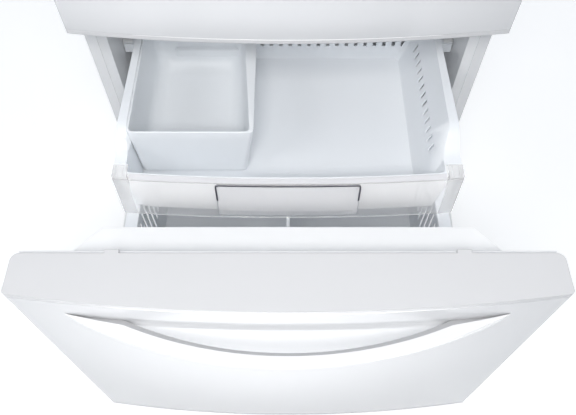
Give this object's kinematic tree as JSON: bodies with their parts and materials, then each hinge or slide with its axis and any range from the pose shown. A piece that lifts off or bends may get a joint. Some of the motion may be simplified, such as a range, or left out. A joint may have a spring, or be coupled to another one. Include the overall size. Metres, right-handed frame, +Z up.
{
  "type": "bottom freezer refrigerator",
  "caption": "White free-standing refrigerator: bowed door above, bowed freezer drawer below with sliding tray, loose ice bin and basket.",
  "frame": {"origin": "on the floor under the middle of the whole object as it stands, drawer pulled out", "axes": "+Z up, +X to the right of someone facing the doors, +Y from the doors to the rear panel"},
  "size_m": [0.832, 1.3919, 1.762],
  "materials": {
    "white_enamel": "gloss",
    "white_cap": "satin",
    "liner_white": "satin",
    "tray_white": "satin",
    "bin_white": "satin",
    "clear_plastic": "gloss",
    "shelf_glass": "gloss",
    "grip_grey": "gloss",
    "handle_white": "gloss",
    "zinc_steel": "satin",
    "galvanised": "satin",
    "insulation": "matte",
    "seal_white": "matte",
    "black_rubber": "matte",
    "black_enamel": "satin",
    "grey_plastic": "matte",
    "black_plastic": "matte",
    "tube_steel": "satin",
    "aluminium": "satin",
    "lamp_diffuser": "matte",
    "button_grey": "satin"
  },
  "bodies": {
    "cabinet": {"cabinet_shell": "white_enamel", "rear_panel": "galvanised", "mullion_rail": "white_enamel", "cabinet_foam": "insulation", "fresh_liner": "liner_white", "freezer_liner": "liner_white", "base_frame": "galvanised", "toe_grille": "white_cap", "machine_cover": "galvanised", "compressor": "black_enamel", "compressor_mounts": "black_rubber", "condenser_coil": "tube_steel", "drain_pan": "grey_plastic", "condenser_fan_frame": "black_plastic", "evaporator_cover": "liner_white", "evaporator_coil": "aluminium", "evaporator_fan_motor": "zinc_steel", "slide_channels": "zinc_steel", "tray_rails": "liner_white", "door_hinges": "zinc_steel", "top_hinge_cover": "white_cap", "shelf_tracks": "zinc_steel", "shelf_frames": "white_cap", "shelf_glass": "shelf_glass", "air_duct_cover": "liner_white", "control_housing": "white_cap", "lamp_lens": "lamp_diffuser"},
    "left_leg": {"leg_left": "black_plastic"},
    "right_leg": {"leg_right": "black_plastic"},
    "rollers": {"rear_rollers": "black_plastic"},
    "condenser_fan": {"condenser_fan_blade": "grey_plastic"},
    "evaporator_fan": {"evaporator_fan_blade": "grey_plastic"},
    "fresh_door": {"fresh_door_skin": "white_enamel", "fresh_door_caps": "white_cap", "fresh_door_foam": "insulation", "fresh_door_liner": "liner_white", "fresh_door_gasket": "seal_white", "fresh_door_handle": "handle_white", "door_bins": "clear_plastic"},
    "dairy_flap": {"dairy_lid": "clear_plastic"},
    "freezer_drawer": {"drawer_skin": "white_enamel", "drawer_caps": "white_cap", "drawer_foam": "insulation", "drawer_liner": "liner_white", "drawer_gasket": "seal_white", "drawer_handle": "handle_white", "drawer_carriers": "zinc_steel", "freezer_basket": "tray_white"},
    "divider": {"basket_divider": "tray_white"},
    "slide_links": {"slide_middles": "zinc_steel"},
    "tray": {"freezer_tray": "tray_white", "tray_front": "clear_plastic", "tray_grip": "grip_grey"},
    "ice_bin": {"ice_bin": "bin_white"},
    "left_crisper": {"crisper_left": "clear_plastic"},
    "right_crisper": {"crisper_right": "clear_plastic"},
    "left_humidity": {"humidity_left": "button_grey"},
    "right_humidity": {"humidity_right": "button_grey"},
    "fridge_button": {"button_fridge": "button_grey"},
    "freezer_button": {"button_freezer": "button_grey"}
  },
  "joints": [
    {"name": "fresh_door_swing", "type": "hinge", "parent": "cabinet", "child": "fresh_door", "pos_m": [0.404, -0.0546, 1.221], "axis": [0, 0, 1], "range_deg": [0, 130]},
    {"name": "dairy_lid_hinge", "type": "hinge", "parent": "fresh_door", "child": "dairy_flap", "pos_m": [0, -0.0163, 1.506], "axis": [1, 0, 0], "range_deg": [0, 80]},
    {"name": "freezer_slide", "type": "slide", "parent": "cabinet", "child": "freezer_drawer", "axis": [0, -1, 0], "range_m": [-0.519, 0.026]},
    {"name": "slide_links_slide", "type": "slide", "parent": "cabinet", "child": "slide_links", "axis": [0, -1, 0], "range_m": [-0.2595, 0.013]},
    {"name": "tray_slide", "type": "slide", "parent": "cabinet", "child": "tray", "axis": [0, -1, 0], "range_m": [-0.3851, 0.01939]},
    {"name": "ice_bin_lift", "type": "slide", "parent": "tray", "child": "ice_bin", "axis": [0, 0, 1], "range_m": [0, 0.1]},
    {"name": "divider_slide", "type": "slide", "parent": "freezer_drawer", "child": "divider", "axis": [1, 0, 0], "range_m": [-0.15, 0.15]},
    {"name": "crisper_left_slide", "type": "slide", "parent": "cabinet", "child": "left_crisper", "axis": [0, -1, 0], "range_m": [0, 0.15]},
    {"name": "crisper_right_slide", "type": "slide", "parent": "cabinet", "child": "right_crisper", "axis": [0, -1, 0], "range_m": [0, 0.15]},
    {"name": "humidity_left_slide", "type": "slide", "parent": "cabinet", "child": "left_humidity", "axis": [1, 0, 0], "range_m": [-0.03, 0.03]},
    {"name": "humidity_right_slide", "type": "slide", "parent": "cabinet", "child": "right_humidity", "axis": [1, 0, 0], "range_m": [-0.03, 0.03]},
    {"name": "button_fridge_press", "type": "slide", "parent": "cabinet", "child": "fridge_button", "axis": [0, 1, 0], "range_m": [0, 0.0015], "stiffness_N_per_m": 600, "springref_m": -0.0005},
    {"name": "button_freezer_press", "type": "slide", "parent": "cabinet", "child": "freezer_button", "axis": [0, 1, 0], "range_m": [0, 0.0015], "stiffness_N_per_m": 600, "springref_m": -0.0005},
    {"name": "leg_left_turn", "type": "hinge", "parent": "cabinet", "child": "left_leg", "pos_m": [-0.36, 0.03, 0], "axis": [0, 0, 1], "continuous": true},
    {"name": "leg_right_turn", "type": "hinge", "parent": "cabinet", "child": "right_leg", "pos_m": [0.36, 0.03, 0], "axis": [0, 0, 1], "continuous": true},
    {"name": "rollers_spin", "type": "hinge", "parent": "cabinet", "child": "rollers", "pos_m": [0, 0.636, 0.018], "axis": [1, 0, 0], "continuous": true},
    {"name": "condenser_fan_spin", "type": "hinge", "parent": "cabinet", "child": "condenser_fan", "pos_m": [0, 0.598, 0.136], "axis": [1, 0, 0], "continuous": true},
    {"name": "evaporator_fan_spin", "type": "hinge", "parent": "cabinet", "child": "evaporator_fan", "pos_m": [0, 0.5977, 0.605], "axis": [0, 1, 0], "continuous": true}
  ],
  "couplings": [
    {"joint": "slide_links_slide", "follows": "freezer_slide", "ratio": 0.5},
    {"joint": "tray_slide", "follows": "freezer_slide", "ratio": 0.74181}
  ]
}
